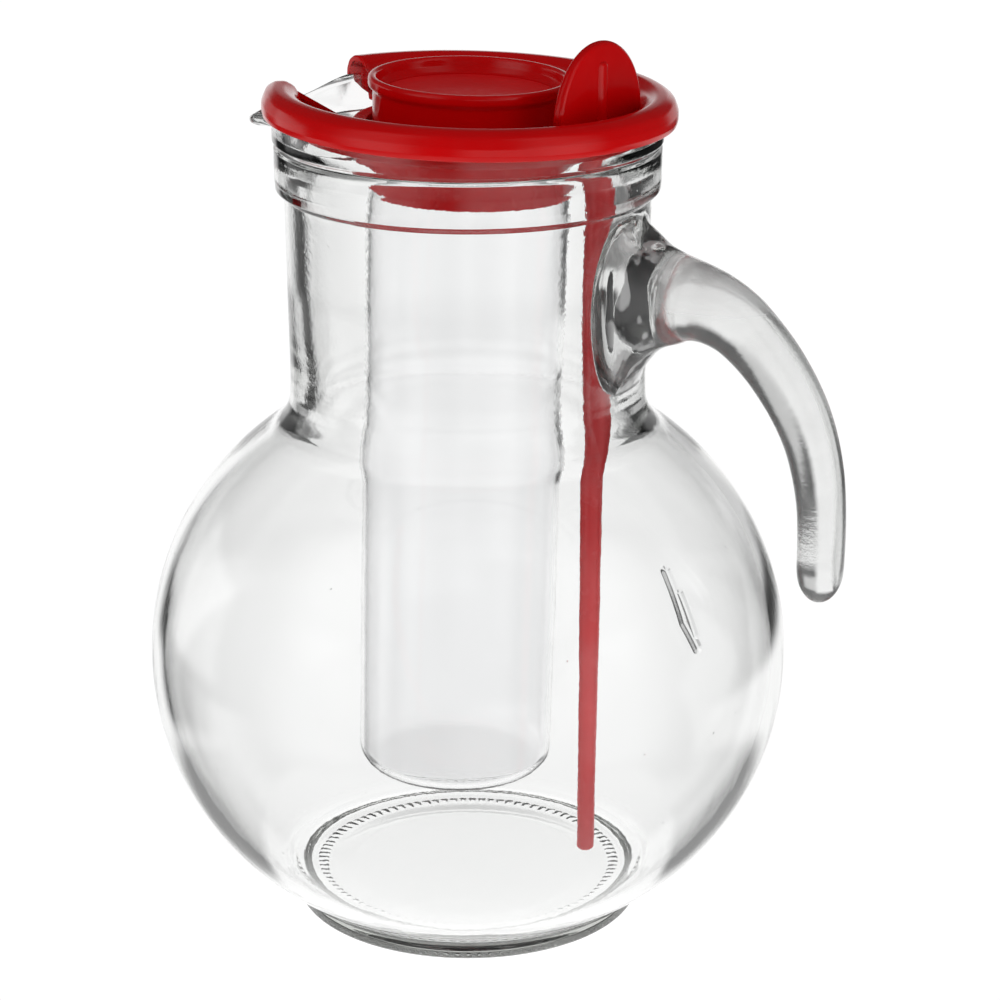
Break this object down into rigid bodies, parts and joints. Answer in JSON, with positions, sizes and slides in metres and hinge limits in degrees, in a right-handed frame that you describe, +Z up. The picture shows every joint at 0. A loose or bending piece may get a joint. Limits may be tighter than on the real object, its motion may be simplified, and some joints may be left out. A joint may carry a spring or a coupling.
{
  "type": "juice jug",
  "caption": "Round clear-glass juice jug with an open hook handle and a pouring lip, a clip-over plastic lid, a hanging ice tube with a stopper, and a stirrer.",
  "frame": {"origin": "middle of the foot, on the face the jug stands on", "axes": "+Z up along the jug's axis, +X towards the handle, -X towards the pouring lip"},
  "size_m": [0.1868, 0.166, 0.2322],
  "materials": {
    "glass": "clear pressed glass, polished",
    "red_plastic": "glossy moulded",
    "clear_plastic": "clear moulded plastic",
    "red_plastic_cap": "glossy moulded, with a fine satin disc",
    "red_plastic_stirrer": "glossy moulded"
  },
  "bodies": {
    "jug": {"glass_bowl": "glass", "glass_shoulder": "glass", "glass_neck": "glass", "glass_handle": "glass"},
    "lid": {"lid": "red_plastic"},
    "tube": {"ice_tube": "clear_plastic"},
    "cap": {"tube_cap": "red_plastic_cap"},
    "stirrer": {"stirrer": "red_plastic_stirrer"}
  },
  "joints": [
    {"name": "lid_lift", "type": "slide", "parent": "jug", "child": "lid", "axis": [0, 0, 1], "range_m": [0, 0.205]},
    {"name": "cap_lift", "type": "slide", "parent": "lid", "child": "cap", "axis": [0.0262, 0, 0.9997], "range_m": [0, 0.04]},
    {"name": "tube_pull", "type": "slide", "parent": "lid", "child": "tube", "axis": [-0.0262, 0, -0.9997], "range_m": [0, 0.02]},
    {"name": "stirrer_lift", "type": "slide", "parent": "lid", "child": "stirrer", "axis": [0, 0, 1], "range_m": [0, 0.195]}
  ]
}
